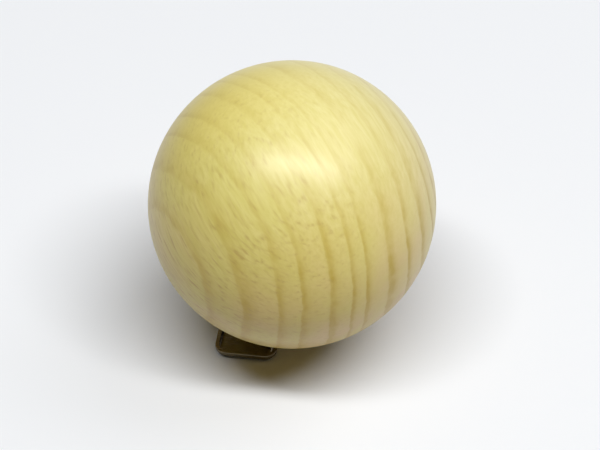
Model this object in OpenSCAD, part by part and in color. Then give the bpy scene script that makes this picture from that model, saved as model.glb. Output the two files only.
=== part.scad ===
// A turned wooden ball that stands on a small folded spring clip.
// The clip is one strip of spring steel. Its upper leaf is screwed to the foot
// of the ball, and its lower leaf ends in a pressed tab.
// Millimetres, +Z up. The origin is on the floor, under the ball's centre.

/* [Ball] */
// Diameter of the turned ball
ball_d = 40; // [32:1:60]
// Diameter of the flat cut at the foot, where the clip seats
seat_d = 10; // [9:0.5:14]

/* [Clip strip] */
// Thickness of the spring strip
sheet_t = 0.6; // [0.4:0.05:0.8]
// Width of the folded strip
strip_w = 6; // [5:0.5:8]
// Width of the round eye that the screw goes through
eye_d = 8.4; // [7.5:0.1:12]
// Inside radius of the fold behind the screw
fold_r = 1.4; // [1.2:0.1:2.5]
// Distance from the screw to the start of the fold
fold_x = 4; // [3.5:0.25:8]

/* [Jaw] */
// Angle at which the upper leaf comes down to the tab
jaw_angle = 60; // [45:5:75]
// Inside radius of the bends in the upper leaf
bend_r = 0.8; // [0.5:0.1:1.2]
// Gap left between the closed jaws
jaw_gap = 0.2; // [0.1:0.05:0.5]
// Length of the lead-in lip past the jaw
lip_l = 1.2; // [0.8:0.1:2]
// Angle of the lead-in lip
lip_angle = 30; // [20:5:45]

/* [Tab] */
// Width of the tab, across the strip
tab_w = 17.5; // [12:0.5:20]
// Length of the tab, along the strip
tab_l = 9; // [6:0.5:12]
// Distance from the screw to the near edge of the tab
tab_x = 1.25; // [1:0.25:4]
// Corner radius of the tab
tab_corner_r = 1.8; // [1.7:0.1:2.5]
// Inside radius where the rim of the tab turns up
rim_r = 0.5; // [0.3:0.05:0.6]
// Height of the turned-up rim above the floor of the tab
rim_h = 0.7; // [0.6:0.05:1.2]

/* [Screw] */
// Diameter of the screw's shank
shank_d = 2.4; // [2:0.1:3]
// Length of the screw under its head
shank_l = 12; // [8:0.5:16]
// Diameter of the round head
head_d = 4.6; // [4:0.1:5]
// Height of the round head
head_h = 1.5; // [1.2:0.1:1.9]
// Width of the slot in the head
slot_w = 0.6; // [0.4:0.1:0.8]
// Depth of the slot in the head
slot_depth = 0.7; // [0.5:0.1:0.8]

/* [Fits] */
// Clearance round the shank in the clip's hole
hole_gap = 0.15; // [0.1:0.05:0.3]
// Clearance round the shank in the ball's pilot hole
pilot_gap = 0.05; // [0.02:0.01:0.1]
// Depth of the pilot hole past the tip of the screw
pilot_spare = 1; // [0.5:0.25:3]
// Clearance round the head in the access hole of the lower leaf
access_gap = 0.2; // [0.1:0.05:0.4]

/* [Hidden] */
$fn = 96;

ball_r = ball_d / 2;
seat_r = seat_d / 2;
// The fold sets how far apart the two leaves are.
leaf_gap = 2 * fold_r;
clip_h = leaf_gap + 2 * sheet_t;
// The seat is a chord of the ball, so the flat's size sets the centre's height.
ball_z = clip_h + sqrt(ball_r * ball_r - seat_r * seat_r);
screw_z = clip_h - sheet_t;
tip_l = shank_d;
pilot_d = shank_d + 2 * pilot_gap;
pilot_l = shank_l - sheet_t + pilot_spare;
// Drop of the upper leaf, from its seat to the closed jaw.
jaw_drop = leaf_gap - jaw_gap;
bend_mid_r = bend_r + sheet_t / 2;
jaw_run = (jaw_drop - 2 * bend_mid_r * (1 - cos(jaw_angle))) / sin(jaw_angle);
// Bends of the upper leaf start clear of the screw head.
seat_run = head_d / 2 + sheet_t;
rim_out_r = rim_r + sheet_t;
// How far the halves of a bend lap, in degrees, and how far a cut runs past a face.
bend_lap = 5;
past = 1;

// Side view of the strip as a bend table. Each row is a straight run and the
// bend after it: [length, inside radius, angle], with left turns positive.
strip_table = [
    [tab_x + fold_x, fold_r, 180],
    [fold_x + seat_run, bend_r, jaw_angle],
    [jaw_run, bend_r, -jaw_angle - lip_angle],
    [lip_l, 0, 0]
];

// First half of a bend, for a strip that comes along +X to the origin. It goes
// a little past the middle, so that it laps over the second half.
module half_bend(inner, angle) {
    outer = inner + sheet_t;
    reach = 2 * outer;
    sweep = abs(angle) / 2 + bend_lap;
    mirror([0, angle < 0 ? 1 : 0]) translate([0, inner + sheet_t / 2]) intersection() {
        difference() {
            circle(outer);
            circle(inner);
        }
        polygon([[0, 0], [0, -reach], [reach * tan(sweep / 2), -reach],
                 [reach * sin(sweep), -reach * cos(sweep)]]);
    }
}

// Draws a bend table from row i on: each run with the half bends at its ends,
// and then the rest of the table, turned to the end of the bend.
module bend_strip(table, i = 0) {
    run = table[i][0];
    translate([0, -sheet_t / 2]) square([run, sheet_t]);
    if (i > 0)
        mirror([1, 0]) half_bend(table[i - 1][1], table[i - 1][2]);
    if (i < len(table) - 1) {
        angle = table[i][2];
        centre_y = sign(angle) * (table[i][1] + sheet_t / 2);
        translate([run, 0]) {
            half_bend(table[i][1], angle);
            translate([0, centre_y]) rotate(angle) translate([0, -centre_y])
                bend_strip(table, i + 1);
        }
    }
}

// Plan outline of the folded strip: a parallel strip with a round eye.
module strip_plan() {
    reach = ball_d;
    translate([-reach / 2, -strip_w / 2]) square([reach, strip_w]);
    circle(d = eye_d);
}

// The strip with its fold and jaw, before its holes are cut.
module folded_strip() {
    intersection() {
        translate([-tab_x, 0, sheet_t / 2]) rotate([90, 0, 0])
            linear_extrude(eye_d, center = true) bend_strip(strip_table);
        translate([0, 0, -past]) linear_extrude(clip_h + 2 * past) strip_plan();
    }
}

// Half section of the tab's edge: its floor turns up into a short rim.
module rim_section() {
    intersection() {
        difference() {
            circle(rim_out_r);
            circle(rim_r);
        }
        translate([0, -rim_out_r]) square(rim_out_r);
    }
    translate([rim_r, 0]) square([sheet_t, rim_h - rim_r]);
}

// One straight side of the rim, centred on the origin, facing +X.
module rim_side(length) {
    rotate([90, 0, 0]) linear_extrude(length, center = true) rim_section();
}

// One corner of the rim, a quarter turn from +X to +Y.
module rim_corner() {
    rotate_extrude(angle = 90)
        translate([tab_corner_r - rim_out_r, 0]) rim_section();
}

// The pressed tab: a shallow tray with an open side where the strip comes in.
module tab() {
    mid_l = tab_l / 2 - tab_corner_r;
    mid_w = tab_w / 2 - tab_corner_r;
    flat_l = tab_l - 2 * rim_out_r;
    flat_w = tab_w - 2 * rim_out_r;
    flat_corner_r = tab_corner_r - rim_out_r;
    translate([-tab_x - tab_l / 2, 0, rim_out_r]) difference() {
        union() {
            translate([0, 0, -rim_out_r]) linear_extrude(sheet_t)
                rounded_plate(flat_l, flat_w, flat_corner_r);
            for (turn = [0, 180]) rotate(turn) {
                translate([tab_l / 2 - rim_out_r, 0, 0]) rim_side(2 * mid_w);
                translate([0, tab_w / 2 - rim_out_r, 0]) rotate(90) rim_side(2 * mid_l);
                translate([mid_l, mid_w, 0]) rim_corner();
                translate([-mid_l, mid_w, 0]) rotate(90) rim_corner();
            }
        }
        translate([0, -strip_w / 2, -rim_out_r - past])
            cube([tab_l, strip_w, 2 * rim_out_r + rim_h + past]);
    }
}

// A flat outline with round corners.
module rounded_plate(length, width, corner_r) {
    square([length - 2 * corner_r, width], center = true);
    square([length, width - 2 * corner_r], center = true);
    for (x = [-1, 1], y = [-1, 1])
        translate([x * (length / 2 - corner_r), y * (width / 2 - corner_r)])
            circle(corner_r);
}

// Turned ball: a true sphere with a seat at its foot and a blind pilot hole.
module ball() {
    color("#e8dba4") difference() {
        translate([0, 0, ball_z]) sphere(ball_r);
        translate([-ball_r, -ball_r, ball_z - ball_d]) cube([ball_d, ball_d, clip_h - ball_z + ball_d]);
        translate([0, 0, clip_h - past]) cylinder(d = pilot_d, h = pilot_l + past);
        translate([0, 0, clip_h + pilot_l]) cylinder(d1 = pilot_d, d2 = 0, h = pilot_d / 2);
    }
}

// Spring clip: the folded strip and its tab, with a screw hole above and a
// larger access hole for the screw head below.
module clip() {
    color("#9c937e") difference() {
        union() {
            folded_strip();
            tab();
            translate([-tab_x - tab_l / 2, -strip_w / 2, 0]) cube([tab_l / 2, strip_w, sheet_t]);
        }
        translate([0, 0, leaf_gap]) cylinder(d = shank_d + 2 * hole_gap, h = clip_h);
        translate([0, 0, -past]) cylinder(d = head_d + 2 * access_gap, h = sheet_t + 2 * past);
    }
}

// Side profile of the screw, from the middle of the head's seat upwards.
module screw_profile() {
    dome_r = (head_d * head_d / 4 + head_h * head_h) / (2 * head_h);
    intersection() {
        translate([0, dome_r - head_h]) circle(dome_r);
        translate([0, -head_h]) square([head_d / 2, head_h]);
    }
    square([shank_d / 2, shank_l - tip_l]);
    polygon([[0, shank_l - tip_l], [shank_d / 2, shank_l - tip_l], [0, shank_l]]);
}

// Round-head wood screw, with its slot facing down.
module screw() {
    color("#b9b3a2") translate([0, 0, screw_z]) difference() {
        rotate_extrude() screw_profile();
        translate([-head_d, -slot_w / 2, -head_h - past])
            cube([2 * head_d, slot_w, slot_depth + past]);
    }
}

ball();
clip();
screw();
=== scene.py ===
"""Looks for a turned beech ball that stands on a small folded spring clip."""

import math

import bmesh
import bpy
from mathutils import Matrix, Vector


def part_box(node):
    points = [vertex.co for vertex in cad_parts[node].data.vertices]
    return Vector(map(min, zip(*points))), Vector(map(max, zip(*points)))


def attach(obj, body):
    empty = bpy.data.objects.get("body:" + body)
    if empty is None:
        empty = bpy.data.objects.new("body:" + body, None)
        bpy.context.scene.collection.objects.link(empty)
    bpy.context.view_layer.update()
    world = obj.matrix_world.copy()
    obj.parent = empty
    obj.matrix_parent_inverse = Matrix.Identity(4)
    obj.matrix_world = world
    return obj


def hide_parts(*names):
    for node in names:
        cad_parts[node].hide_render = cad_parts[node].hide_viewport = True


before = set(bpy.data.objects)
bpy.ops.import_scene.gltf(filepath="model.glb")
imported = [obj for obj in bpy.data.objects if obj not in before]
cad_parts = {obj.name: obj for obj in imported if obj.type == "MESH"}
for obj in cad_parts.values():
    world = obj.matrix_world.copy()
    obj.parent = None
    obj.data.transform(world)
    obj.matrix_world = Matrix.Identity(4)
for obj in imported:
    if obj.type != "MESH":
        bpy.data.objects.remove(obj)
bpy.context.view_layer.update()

MM = 0.001
BALL_LOW, BALL_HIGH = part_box("ball")
BALL_RADIUS = (BALL_HIGH.x - BALL_LOW.x) / 2
BALL_CENTRE = Vector((0, 0, BALL_HIGH.z - BALL_RADIUS))
# The blind hole in the foot of the ball, for the screw.
PILOT_RADIUS = 1.25 * MM
PILOT_DEPTH = 12.4 * MM
# How far sandpaper and the tumbling barrel have broken the edges.
SEAT_EDGE = 0.12 * MM
CLIP_EDGE = 0.04 * MM
SCREW_EDGE = 0.05 * MM
# The ball's faces from top to foot, and round it.
PROFILE_STEPS = 120
TURN_STEPS = 192
# Edges past the first angle shade sharp. Outward edges past the second are broken.
CREASE = math.radians(30)
CUT = math.radians(35)
# Vertices closer than the first are one. In a copy of a CAD piece, edges shorter
# than the second go, and faces are joined where they turn by less than the third.
MERGE = 0.0001 * MM
SHORT_EDGE = 0.01 * MM
FLAT = math.radians(0.3)

# The camera looks down on the ball, from a little to the right of its front. Its
# lens and the width of its frame are in millimetres.
CAMERA_TURN = math.radians(7.8)
CAMERA_RISE = math.radians(43.5)
CAMERA_DISTANCE = 300 * MM
CAMERA_LENS = 129.6
CAMERA_FRAME = 36
CAMERA_BACK = Vector((
    math.sin(CAMERA_TURN) * math.cos(CAMERA_RISE),
    -math.cos(CAMERA_TURN) * math.cos(CAMERA_RISE),
    math.sin(CAMERA_RISE),
))
CAMERA_RIGHT = Vector((math.cos(CAMERA_TURN), math.sin(CAMERA_TURN), 0))
CAMERA_UP = CAMERA_BACK.cross(CAMERA_RIGHT)
# It aims at a point right of the ball's centre and below it, as it sees them.
AIM_RIGHT = 1.1 * MM
AIM_DOWN = 2.85 * MM
# How far off the lamps stand, and how bright the room is where it shows.
LAMP_DISTANCE = 1.5
ROOM_BRIGHTNESS = 0.54
# How far the floor reaches each way. A mirror ray that meets it sooner than the
# second length has started on it.
FLOOR_REACH = 3
FLOOR_TOUCH = 0.02 * MM


# ---------------------------------------------------------------- helpers

def linear(code):
    """Linear colour of an sRGB hex code such as "#f0e2b0"."""
    parts = [int(code[i:i + 2], 16) / 255 for i in (1, 3, 5)]
    curve = [c / 12.92 if c <= 0.04045 else ((c + 0.055) / 1.055) ** 2.4 for c in parts]
    return (*curve, 1)


def add_node(tree, kind, inputs=None, **settings):
    """A new node with its settings. Each input is a value, or a socket to link from."""
    made = tree.nodes.new(kind)
    for name, value in settings.items():
        setattr(made, name, value)
    for name, value in (inputs or {}).items():
        if isinstance(value, bpy.types.NodeSocket):
            tree.links.new(value, made.inputs[name])
        else:
            made.inputs[name].default_value = value
    return made


def set_stops(ramp, stops):
    """Gives a colour ramp its stops: (place, grey or colour)."""
    elements = ramp.color_ramp.elements
    while len(elements) < len(stops):
        elements.new(1)
    for element, (place, value) in zip(elements, stops):
        element.position = place
        element.color = value if isinstance(value, tuple) else (value, value, value, 1)


def new_material(name):
    """An empty node material with its output."""
    material = bpy.data.materials.new(name)
    material.use_nodes = True
    material.node_tree.nodes.clear()
    output = add_node(material.node_tree, "ShaderNodeOutputMaterial")
    return material, material.node_tree, output


def seen_ray(tree):
    """1 for a ray that shows a surface, straight, mirrored or through glass, and else 0."""
    path = add_node(tree, "ShaderNodeLightPath")
    shown = add_node(tree, "ShaderNodeMath", {
        0: path.outputs["Is Camera Ray"], 1: path.outputs["Is Glossy Ray"],
    }, operation="MAXIMUM")
    return add_node(tree, "ShaderNodeMath", {
        0: shown.outputs[0], 1: path.outputs["Is Transmission Ray"],
    }, operation="MAXIMUM").outputs[0]


def product(tree, first, *others):
    """The product of the values of some sockets."""
    for other in others:
        both = add_node(tree, "ShaderNodeMath", {0: first, 1: other}, operation="MULTIPLY")
        first = both.outputs[0]
    return first


def finish_mesh(bm, name, material):
    """Makes an object of a bmesh: smooth faces, with the edges past the crease angle sharp."""
    bmesh.ops.recalc_face_normals(bm, faces=bm.faces)
    for face in bm.faces:
        face.smooth = True
    for edge in bm.edges:
        edge.smooth = len(edge.link_faces) == 2 and edge.calc_face_angle() < CREASE
    mesh = bpy.data.meshes.new(name)
    bm.to_mesh(mesh)
    bm.free()
    mesh.materials.append(material)
    made = bpy.data.objects.new(name, mesh)
    bpy.context.scene.collection.objects.link(made)
    return made


def dress(piece, node):
    """Puts a piece in the place of its CAD node, which it hides, on the one body."""
    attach(piece, "root")
    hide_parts(node)


# -------------------------------------------------------------- materials

# The blank, as it lies in the finished ball: the way its fibres run, and the way
# from the ball's centre to the pith, which is made square to the fibres.
FIBRE = Vector((0.6, -0.65, -0.47)).normalized()
PITH_SIDE = Vector((0.78, 0.6, 0.18))
TO_PITH = (PITH_SIDE - FIBRE * PITH_SIDE.dot(FIBRE)).normalized()
# In millimetres: how far the pith is from the ball's centre, how thick a year's
# ring is, and where one ring ends, counted from the centre toward the bark.
PITH_DISTANCE = 52.4
YEAR = 3.11
RING_END = -12.75
# The share of a year at which its dark edge ends.
DARK_EDGE = 0.94
# Fat and lean years come in waves: length in millimetres, height in years, start.
LEAN_WAVES = ((24, 0.13, -2), (15, 0.12, -0.8), (8.5, 0.13, -1.35))
# The rings wander: slow waves, kinks and a ragged edge, each by its length and
# its height in millimetres and by how much finer detail it has. Along the fibre
# they are longer by the stretch.
WANDERS = ((12, 0.5, 0), (3.5, 0.5, 1), (1.1, 0.35, 2))
WANDER_STRETCH = 2.5
# Painted light: the ball is painted paler more and more from the first height to
# the second, in radii above its centre.
PAINTED_TOP_LIGHT = (-0.3, 0.85)
# Spans in millimetres from the ball's centre. On the way out from the pith, the
# colour turns over the first, and the flecks come in over the second. On the way
# along the fibres, these come to meet the surface end on over the third.
BARK_SPAN = (-16, 16)
FLECK_SPAN = (-6, 8)
END_GRAIN_SPAN = (6, 17)


def grain_places(tree, place):
    """The place in the blank in millimetres, true and as the rings wander.

    X is out from the pith, Y round it and Z along the fibre.
    """
    outward = -TO_PITH
    turn = Matrix((outward, FIBRE.cross(outward), FIBRE))
    pith = BALL_CENTRE / MM + TO_PITH * PITH_DISTANCE
    grain = add_node(tree, "ShaderNodeMapping", {
        "Vector": place,
        "Scale": (1 / MM, 1 / MM, 1 / MM),
        "Rotation": turn.to_euler("XYZ"),
        "Location": -(turn @ pith),
    }).outputs["Vector"]
    moved = grain
    for length, height, detail in WANDERS:
        stretched = add_node(tree, "ShaderNodeVectorMath", {
            0: grain, 1: (1 / length, 1 / length, 1 / (length * WANDER_STRETCH)),
        }, operation="MULTIPLY")
        noise = add_node(tree, "ShaderNodeTexNoise", {
            "Vector": stretched.outputs[0], "Scale": 1, "Detail": detail,
        })
        centred = add_node(tree, "ShaderNodeVectorMath", {
            0: noise.outputs["Color"], 1: (0.5, 0.5, 0.5),
        }, operation="SUBTRACT")
        moved = add_node(tree, "ShaderNodeVectorMath", {
            0: centred.outputs[0], 1: (height, height, 0), 2: moved,
        }, operation="MULTIPLY_ADD").outputs[0]
    return grain, moved


def late_wood(tree, depth):
    """The thin dark edge of each year's ring, from 0 to 1: slow to start, sharp to end."""
    years = add_node(tree, "ShaderNodeMath", {
        0: depth, 1: 1 / YEAR, 2: DARK_EDGE - RING_END / YEAR,
    }, operation="MULTIPLY_ADD").outputs[0]
    for length, height, start in LEAN_WAVES:
        wave = add_node(tree, "ShaderNodeMath", {
            0: depth, 1: math.tau / length, 2: start,
        }, operation="MULTIPLY_ADD")
        wave = add_node(tree, "ShaderNodeMath", {0: wave.outputs[0]}, operation="SINE")
        years = add_node(tree, "ShaderNodeMath", {
            0: wave.outputs[0], 1: height, 2: years,
        }, operation="MULTIPLY_ADD").outputs[0]
    part_of_year = add_node(tree, "ShaderNodeMath", {0: years}, operation="FRACT")
    late = add_node(tree, "ShaderNodeValToRGB", {"Fac": part_of_year.outputs[0]})
    set_stops(late, [(0, 0.15), (0.06, 0), (0.3, 0.05), (0.55, 0.17), (0.7, 0.42),
                     (0.8, 0.76), (0.88, 1), (0.95, 0.85), (1, 0.15)])
    return late.outputs["Color"]


def ring_strength(tree, grain, painted_top_light, toward_bark, end_grain):
    """How dark the rings are, from place to place."""
    # The lines are painted faint on top, as painted light, and faintest near the pith.
    faintest = add_node(tree, "ShaderNodeMapRange", {
        "Value": toward_bark, "To Min": 0.13, "To Max": 0.26,
    })
    fade = add_node(tree, "ShaderNodeMapRange", {
        "Value": painted_top_light, "To Min": 1, "To Max": faintest.outputs[0],
    })
    # Lower down they are a little darker near the pith.
    near = add_node(tree, "ShaderNodeMapRange", {
        "Value": toward_bark, "To Min": 1.1, "To Max": 0.85,
    })
    # End grain soaks up more lacquer, which darkens them.
    soaked = add_node(tree, "ShaderNodeMapRange", {
        "Value": end_grain, "To Min": 0.95, "To Max": 1.35,
    })
    # They come and go in patches, 2 mm across and 3.3 mm along the fibre.
    patch = add_node(tree, "ShaderNodeVectorMath", {
        0: grain, 1: (1 / 2, 1 / 2, 1 / 3.3),
    }, operation="MULTIPLY")
    patch = add_node(tree, "ShaderNodeTexNoise", {
        "Vector": patch.outputs[0], "Scale": 1, "Detail": 2,
    })
    patch = add_node(tree, "ShaderNodeMapRange", {
        "Value": patch.outputs["Fac"], "From Min": 0.3, "From Max": 0.7,
        "To Min": 0.55, "To Max": 1.35,
    })
    return product(tree, *(share.outputs[0] for share in (fade, near, soaked, patch)))


def beech_ground(tree, grain, painted_top_light, toward_bark, end_grain):
    """The colour between the rings: straw, pinker near the pith, and paler on top, which is
    painted light.
    """
    colour = add_node(tree, "ShaderNodeMix", {
        0: toward_bark, 6: linear("#e9d79f"), 7: linear("#dfd385"),
    }, data_type="RGBA").outputs[2]
    # Broad drifts of tint, 7 mm across and 16 mm along the fibre.
    drift = add_node(tree, "ShaderNodeVectorMath", {
        0: grain, 1: (1 / 7, 1 / 7, 1 / 16),
    }, operation="MULTIPLY")
    drift = add_node(tree, "ShaderNodeTexNoise", {
        "Vector": drift.outputs[0], "Scale": 1, "Detail": 2, "Roughness": 0.55,
    })
    drift = add_node(tree, "ShaderNodeMapRange", {
        "Value": drift.outputs["Fac"], "From Min": 0.35, "From Max": 0.65,
    })
    drift = add_node(tree, "ShaderNodeMix", {
        0: drift.outputs[0], 6: linear("#fbffde"), 7: linear("#fff6ff"),
    }, data_type="RGBA")
    colour = add_node(tree, "ShaderNodeMix", {
        0: 1.0, 6: colour, 7: drift.outputs[2],
    }, data_type="RGBA", blend_type="MULTIPLY").outputs[2]
    # Painted light makes the top paler. With the same mask, the end grain toward the
    # bark is tinted yellower on top.
    painted_top_colour = add_node(tree, "ShaderNodeMix", {
        0: toward_bark, 6: linear("#f2e8ab"), 7: linear("#e9de86"),
    }, data_type="RGBA")
    colour = add_node(tree, "ShaderNodeMix", {
        0: painted_top_light, 6: colour, 7: painted_top_colour.outputs[2],
    }, data_type="RGBA").outputs[2]
    return add_node(tree, "ShaderNodeMix", {
        0: product(tree, end_grain, painted_top_light, toward_bark), 6: colour, 7: linear("#faeea1"),
    }, data_type="RGBA", blend_type="MULTIPLY").outputs[2]


def lacquered_beech():
    """Beech, turned, sanded and clear lacquered.

    Gives a pale straw ground, thin tan lines of late wood that fade in slowly
    and end sharply, and short brown ray flecks along the fibre, under a soft
    sheen.
    """
    material, tree, output = new_material("beech_turned_lacquered")
    place = add_node(tree, "ShaderNodeTexCoord").outputs["Object"]
    grain, moved = grain_places(tree, place)
    # Depth toward the bark, which is 0 at the distance of the ball's centre.
    across = add_node(tree, "ShaderNodeVectorMath", {0: moved, 1: (1, 1, 0)}, operation="MULTIPLY")
    radius = add_node(tree, "ShaderNodeVectorMath", {0: across.outputs[0]}, operation="LENGTH")
    depth = add_node(tree, "ShaderNodeMath", {
        0: radius.outputs["Value"], 1: PITH_DISTANCE,
    }, operation="SUBTRACT").outputs[0]

    # Three shares that change over the ball: how much painted light makes it paler on
    # top, how near the bark it is, and how far the fibres meet the surface end on.
    height = add_node(tree, "ShaderNodeSeparateXYZ", {0: place}).outputs["Z"]
    painted_top_light = add_node(tree, "ShaderNodeMapRange", {
        "Value": height,
        "From Min": BALL_CENTRE.z + PAINTED_TOP_LIGHT[0] * BALL_RADIUS,
        "From Max": BALL_CENTRE.z + PAINTED_TOP_LIGHT[1] * BALL_RADIUS,
    }).outputs[0]
    toward_bark = add_node(tree, "ShaderNodeMapRange", {
        "Value": depth, "From Min": BARK_SPAN[0], "From Max": BARK_SPAN[1],
    }).outputs[0]
    along = add_node(tree, "ShaderNodeSeparateXYZ", {0: grain}).outputs["Z"]
    along = add_node(tree, "ShaderNodeMath", {0: along}, operation="ABSOLUTE")
    end_grain = add_node(tree, "ShaderNodeMapRange", {
        "Value": along.outputs[0], "From Min": END_GRAIN_SPAN[0], "From Max": END_GRAIN_SPAN[1],
    }).outputs[0]
    # Soaked end grain mostly hides the streaks and flecks.
    side_grain = add_node(tree, "ShaderNodeMapRange", {
        "Value": end_grain, "To Min": 1, "To Max": 0.3,
    }).outputs[0]

    colour = beech_ground(tree, grain, painted_top_light, toward_bark, end_grain)
    strength = ring_strength(tree, grain, painted_top_light, toward_bark, end_grain)
    colour = add_node(tree, "ShaderNodeMix", {
        0: product(tree, late_wood(tree, depth), strength), 6: colour, 7: linear("#cab143"),
    }, data_type="RGBA").outputs[2]

    # Fibre streaks: 0.5 mm wide and 4 mm long, a little darker than the ground.
    fibres = add_node(tree, "ShaderNodeVectorMath", {
        0: moved, 1: (1 / 0.5, 1 / 0.5, 1 / 4),
    }, operation="MULTIPLY")
    fibres = add_node(tree, "ShaderNodeTexNoise", {
        "Vector": fibres.outputs[0], "Scale": 1, "Detail": 3, "Roughness": 0.6,
    }).outputs["Fac"]
    streak = add_node(tree, "ShaderNodeMapRange", {
        "Value": fibres, "From Min": 0.3, "From Max": 0.7, "To Min": 1, "To Max": 0,
    })
    streak = add_node(tree, "ShaderNodeMix", {
        0: product(tree, streak.outputs[0], side_grain),
        6: linear("#ffffff"), 7: linear("#f4f2dc"),
    }, data_type="RGBA")
    colour = add_node(tree, "ShaderNodeMix", {
        0: 1.0, 6: colour, 7: streak.outputs[2],
    }, data_type="RGBA", blend_type="MULTIPLY").outputs[2]

    # Ray flecks: the ends of the rays, short brown dashes along the fibre, 0.4 to
    # 0.7 mm wide and 2.6 mm long. They show most on the side toward the bark, and
    # the painted light on top makes them fainter.
    rays = add_node(tree, "ShaderNodeVectorMath", {
        0: moved, 1: (1 / 0.7, 1 / 0.4, 1 / 2.6),
    }, operation="MULTIPLY")
    rays = add_node(tree, "ShaderNodeTexNoise", {
        "Vector": rays.outputs[0], "Scale": 1, "Detail": 1, "Roughness": 0.4,
    })
    fleck = add_node(tree, "ShaderNodeValToRGB", {"Fac": rays.outputs["Fac"]})
    set_stops(fleck, [(0.5, 0), (0.66, 0.4), (0.75, 1)])
    flat_sawn = add_node(tree, "ShaderNodeMapRange", {
        "Value": depth, "From Min": FLECK_SPAN[0], "From Max": FLECK_SPAN[1],
        "To Min": 0.08, "To Max": 0.85,
    }, interpolation_type="SMOOTHSTEP")
    # Painted light: the flecks fade toward the top.
    fleck_top_fade = add_node(tree, "ShaderNodeMapRange", {
        "Value": painted_top_light, "To Min": 1, "To Max": 0.35,
    })
    fleck = product(tree, fleck.outputs["Color"], flat_sawn.outputs[0], fleck_top_fade.outputs[0],
                    side_grain)
    colour = add_node(tree, "ShaderNodeMix", {
        0: fleck, 6: colour, 7: linear("#b69548"),
    }, data_type="RGBA").outputs[2]

    # The fibres telegraph through the lacquer as a very shallow ripple.
    ripple = add_node(tree, "ShaderNodeBump", {
        "Height": fibres, "Strength": 0.5, "Distance": 0.02 * MM,
    })
    shader = add_node(tree, "ShaderNodeBsdfPrincipled", {
        "Base Color": colour, "Roughness": 0.42, "IOR": 1.5,
        "Coat Weight": 0.35, "Coat Roughness": 0.3, "Coat IOR": 1.5,
        "Normal": ripple.outputs[0], "Coat Normal": ripple.outputs[0],
    })
    tree.links.new(shader.outputs[0], output.inputs["Surface"])
    return material


def polished_nickel():
    """Spring steel strip, nickel plated and polished, and a little worn.

    Gives a warm mirror with hairline scratches from handling and a faint cloudy
    film, so that a reflection breaks up a little as it runs along. Its base colour
    is darkened as painted shade.
    """
    material, tree, output = new_material("nickel_plated_polished")
    place = add_node(tree, "ShaderNodeTexCoord").outputs["Object"]

    # Handling film: soft clouds about 4 mm across, which dull the mirror.
    film = add_node(tree, "ShaderNodeTexNoise", {
        "Vector": place, "Scale": 1 / (4 * MM), "Detail": 3, "Roughness": 0.6,
    })
    film = add_node(tree, "ShaderNodeMapRange", {
        "Value": film.outputs["Fac"], "From Min": 0.35, "From Max": 0.7,
    })
    # Hairlines: 0.05 mm wide and 3 mm long, in two directions on the flat faces.
    hairlines = []
    for turn in (0.35, 1.15):
        lines = add_node(tree, "ShaderNodeMapping", {
            "Vector": place, "Rotation": (0, 0, turn),
            "Scale": (1 / (3 * MM), 1 / (0.05 * MM), 1 / (0.3 * MM)),
        })
        lines = add_node(tree, "ShaderNodeTexNoise", {
            "Vector": lines.outputs[0], "Scale": 1, "Detail": 1, "Roughness": 0.4,
        })
        lines = add_node(tree, "ShaderNodeMapRange", {
            "Value": lines.outputs["Fac"], "From Min": 0.6, "From Max": 0.72,
        })
        hairlines.append(lines.outputs[0])
    hairlines = add_node(tree, "ShaderNodeMath", {
        0: hairlines[0], 1: hairlines[1],
    }, operation="MAXIMUM").outputs[0]

    # Both colours are darkened well below bright nickel: painted shade.
    colour = add_node(tree, "ShaderNodeMix", {
        0: film.outputs[0], 6: linear("#8a7f68"), 7: linear("#776d58"),
    }, data_type="RGBA").outputs[2]
    # The film leaves the mirror rougher, and a hairline rougher still.
    gloss = add_node(tree, "ShaderNodeMapRange", {
        "Value": film.outputs[0], "To Min": 0.12, "To Max": 0.24,
    })
    gloss = add_node(tree, "ShaderNodeMath", {
        0: hairlines, 1: 0.15, 2: gloss.outputs[0],
    }, operation="MULTIPLY_ADD")
    scratch = add_node(tree, "ShaderNodeBump", {
        "Height": hairlines, "Strength": 0.25, "Distance": 0.004 * MM,
    }, invert=True)
    shader = add_node(tree, "ShaderNodeBsdfPrincipled", {
        "Base Color": colour, "Metallic": 1, "Roughness": gloss.outputs[0],
        "Normal": scratch.outputs[0],
    })
    tree.links.new(shader.outputs[0], output.inputs["Surface"])
    return material


def satin_nickel():
    """Turned steel screw, nickel plated in bulk: a satin sheen with fine lathe rings.

    The barrel that plates small screws leaves them softer than the strip.
    """
    material, tree, output = new_material("nickel_barrel_plated_satin")
    place = add_node(tree, "ShaderNodeTexCoord").outputs["Object"]
    # Lathe rings about 0.12 mm apart round the screw's axis. A wave texture of
    # scale 1 has 20 radians to the metre.
    rings = add_node(tree, "ShaderNodeTexWave", {
        "Vector": place, "Scale": math.tau / (20 * 0.12 * MM), "Distortion": 0.5,
        "Detail": 1, "Detail Scale": 1,
    }, wave_type="RINGS", rings_direction="Z")
    grain = add_node(tree, "ShaderNodeTexNoise", {
        "Vector": place, "Scale": 1 / (0.6 * MM), "Detail": 3,
    })
    colour = add_node(tree, "ShaderNodeMix", {
        0: grain.outputs["Fac"], 6: linear("#b3ab99"), 7: linear("#9a917d"),
    }, data_type="RGBA").outputs[2]
    gloss = add_node(tree, "ShaderNodeMapRange", {
        "Value": grain.outputs["Fac"], "To Min": 0.28, "To Max": 0.42,
    })
    turned = add_node(tree, "ShaderNodeBump", {
        "Height": rings.outputs["Fac"], "Strength": 0.3, "Distance": 0.004 * MM,
    })
    shader = add_node(tree, "ShaderNodeBsdfPrincipled", {
        "Base Color": colour, "Metallic": 1, "Roughness": gloss.outputs[0],
        "Normal": turned.outputs[0],
    })
    tree.links.new(shader.outputs[0], output.inputs["Surface"])
    return material


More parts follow.
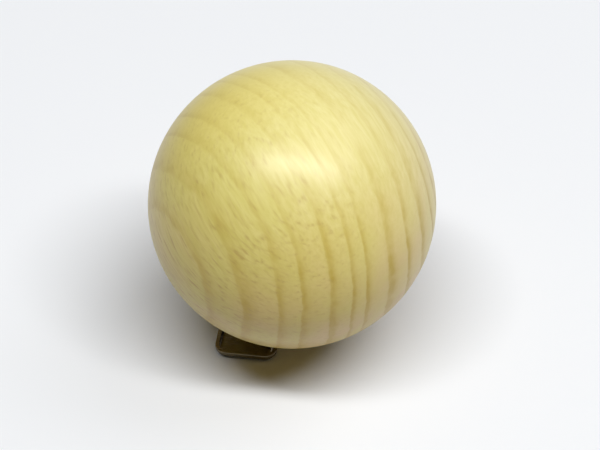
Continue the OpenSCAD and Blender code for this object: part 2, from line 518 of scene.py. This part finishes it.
def pale_card():
    """White card, matt: an even pale floor that takes soft shadows.

    The rays that light the ball find it a little darker than it looks, so that it
    doesn't light the ball's foot too much.
    """
    material, tree, output = new_material("card_matt_white")
    card = add_node(tree, "ShaderNodeMix", {
        0: seen_ray(tree), 6: linear("#bbaea2"), 7: linear("#f1f3f6"),
    }, data_type="RGBA")
    shader = add_node(tree, "ShaderNodeBsdfDiffuse", {"Color": card.outputs[2]})
    # From below the floor is clear, so that it hides nothing. It is clear as well to a
    # mirror ray that starts on it, so the clip's flat underside isn't black from there.
    clear = add_node(tree, "ShaderNodeBsdfTransparent")
    path = add_node(tree, "ShaderNodeLightPath")
    touching = add_node(tree, "ShaderNodeMath", {
        0: path.outputs["Ray Length"], 1: FLOOR_TOUCH,
    }, operation="LESS_THAN")
    touching = add_node(tree, "ShaderNodeMath", {
        0: touching.outputs[0], 1: path.outputs["Is Glossy Ray"],
    }, operation="MULTIPLY")
    unseen = add_node(tree, "ShaderNodeMath", {
        0: touching.outputs[0], 1: add_node(tree, "ShaderNodeNewGeometry").outputs["Backfacing"],
    }, operation="MAXIMUM")
    both = add_node(tree, "ShaderNodeMixShader", {
        0: unseen.outputs[0], 1: shader.outputs[0], 2: clear.outputs[0],
    })
    tree.links.new(both.outputs[0], output.inputs["Surface"])
    return material


# ------------------------------------------------------------------ pieces

def turned_ball():
    """The ball as it leaves the lathe: a true sphere with a seat and a pilot hole."""
    seat_z = BALL_LOW.z
    sweep = math.pi / 2 + math.asin((BALL_CENTRE.z - seat_z) / BALL_RADIUS)
    pilot_top = seat_z + PILOT_DEPTH
    bm = bmesh.new()
    # Half profile: an arc from the top to the seat, the seat, and the wall and the
    # pointed end of the pilot hole.
    top = bm.verts.new((0, 0, BALL_HIGH.z))
    arc = bmesh.ops.spin(bm, geom=[top], cent=BALL_CENTRE, axis=(0, 1, 0), angle=sweep,
                         steps=PROFILE_STEPS)
    low = [item for item in arc["geom_last"] if isinstance(item, bmesh.types.BMVert)][0]
    for x, z in ((PILOT_RADIUS, seat_z), (PILOT_RADIUS, pilot_top), (0, pilot_top + PILOT_RADIUS)):
        place = bm.verts.new((x, 0, z))
        bm.edges.new((low, place))
        low = place
    bmesh.ops.spin(bm, geom=bm.verts[:] + bm.edges[:], cent=(0, 0, 0), axis=(0, 0, 1),
                   angle=math.tau, steps=TURN_STEPS, use_merge=True)
    bmesh.ops.remove_doubles(bm, verts=bm.verts, dist=MERGE)
    # The two round edges of the seat are broken with sandpaper.
    rims = [edge for edge in bm.edges
            if all(abs(vert.co.z - seat_z) < MERGE for vert in edge.verts)
            and abs(edge.verts[0].co.length - edge.verts[1].co.length) < MERGE]
    bmesh.ops.bevel(bm, geom=rims, offset=SEAT_EDGE, offset_type="OFFSET", segments=3,
                    profile=0.5, affect="EDGES", clamp_overlap=True, material=-1)
    return finish_mesh(bm, "turned_ball", lacquered_beech())


def broken_copy(node, name, material, width):
    """A copy of a CAD piece, with a narrow flat cut along its outward edges.

    The width says how far the flat runs into the face on each side of the edge.
    """
    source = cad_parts[node]
    bm = bmesh.new()
    bm.from_mesh(source.data)
    bm.transform(source.matrix_world)
    bmesh.ops.remove_doubles(bm, verts=bm.verts, dist=MERGE)
    bmesh.ops.dissolve_limit(bm, angle_limit=FLAT, verts=bm.verts, edges=bm.edges)
    bmesh.ops.dissolve_degenerate(bm, edges=bm.edges, dist=SHORT_EDGE)
    outward = [edge for edge in bm.edges if edge.is_convex and edge.calc_face_angle() > CUT]
    bmesh.ops.bevel(bm, geom=outward, offset=width, offset_type="OFFSET", segments=1,
                    profile=0.5, affect="EDGES", clamp_overlap=False, material=-1)
    bmesh.ops.remove_doubles(bm, verts=bm.verts, dist=MERGE)
    return finish_mesh(bm, name, material)


def floor():
    """A wide sheet of pale card, which isn't part of the object."""
    bm = bmesh.new()
    bmesh.ops.create_grid(bm, x_segments=1, y_segments=1, size=FLOOR_REACH)
    finish_mesh(bm, "floor", pale_card())


# --------------------------------------------------------- light and camera

def area_lamp(name, way, along, size, energy):
    """A flat lamp that stands off the ball the way given, and faces it.

    Its size is in metres, and its first side runs as near to along as it can.
    """
    lamp = bpy.data.lights.new(name, "AREA")
    lamp.shape = "RECTANGLE"
    lamp.size, lamp.size_y = size
    lamp.energy = energy
    made = bpy.data.objects.new(name, lamp)
    way = way.normalized()
    side = (along - way * along.dot(way)).normalized()
    made.location = BALL_CENTRE + way * LAMP_DISTANCE
    made.rotation_euler = Matrix((side, way.cross(side), way)).transposed().to_euler()
    bpy.context.scene.collection.objects.link(made)


def soft_light():
    """A long softbox overhead, a weak panel high on the right, and an even room.

    The room lights nothing. It shows only in the metal and the lacquer, and past
    the floor.
    """
    area_lamp("softbox", way=Vector((0.12, -0.265, 0.97)), along=Vector((1, 0, 0)),
              size=(1.8, 0.2), energy=25.3)
    area_lamp("side_panel", way=Vector((0.6, 0.3, 1)), along=Vector((0, 0, 1)),
              size=(0.9, 0.9), energy=4.5)

    world = bpy.data.worlds.new("pale_room")
    bpy.context.scene.world = world
    world.use_nodes = True
    tree = world.node_tree
    tree.nodes.clear()
    strength = add_node(tree, "ShaderNodeMath", {
        0: seen_ray(tree), 1: ROOM_BRIGHTNESS,
    }, operation="MULTIPLY")
    back = add_node(tree, "ShaderNodeBackground", {
        "Color": linear("#ffffff"), "Strength": strength.outputs[0],
    })
    output = add_node(tree, "ShaderNodeOutputWorld")
    tree.links.new(back.outputs[0], output.inputs["Surface"])


def camera():
    """A long lens that looks down on the ball, aimed a little below its middle."""
    lens = bpy.data.cameras.new("camera")
    lens.lens = CAMERA_LENS
    lens.sensor_width = CAMERA_FRAME
    made = bpy.data.objects.new("camera", lens)
    aim = BALL_CENTRE + CAMERA_RIGHT * AIM_RIGHT - CAMERA_UP * AIM_DOWN
    made.location = aim + CAMERA_BACK * CAMERA_DISTANCE
    made.rotation_euler = CAMERA_BACK.to_track_quat("Z", "Y").to_euler()
    bpy.context.scene.collection.objects.link(made)
    bpy.context.scene.camera = made


bpy.context.scene.view_settings.view_transform = "Standard"
camera()
soft_light()
floor()

ball = turned_ball()
clip = broken_copy("clip", "folded_clip", polished_nickel(), CLIP_EDGE)
screw = broken_copy("screw", "round_head_screw", satin_nickel(), SCREW_EDGE)
dress(ball, "ball")
dress(clip, "clip")
dress(screw, "screw")
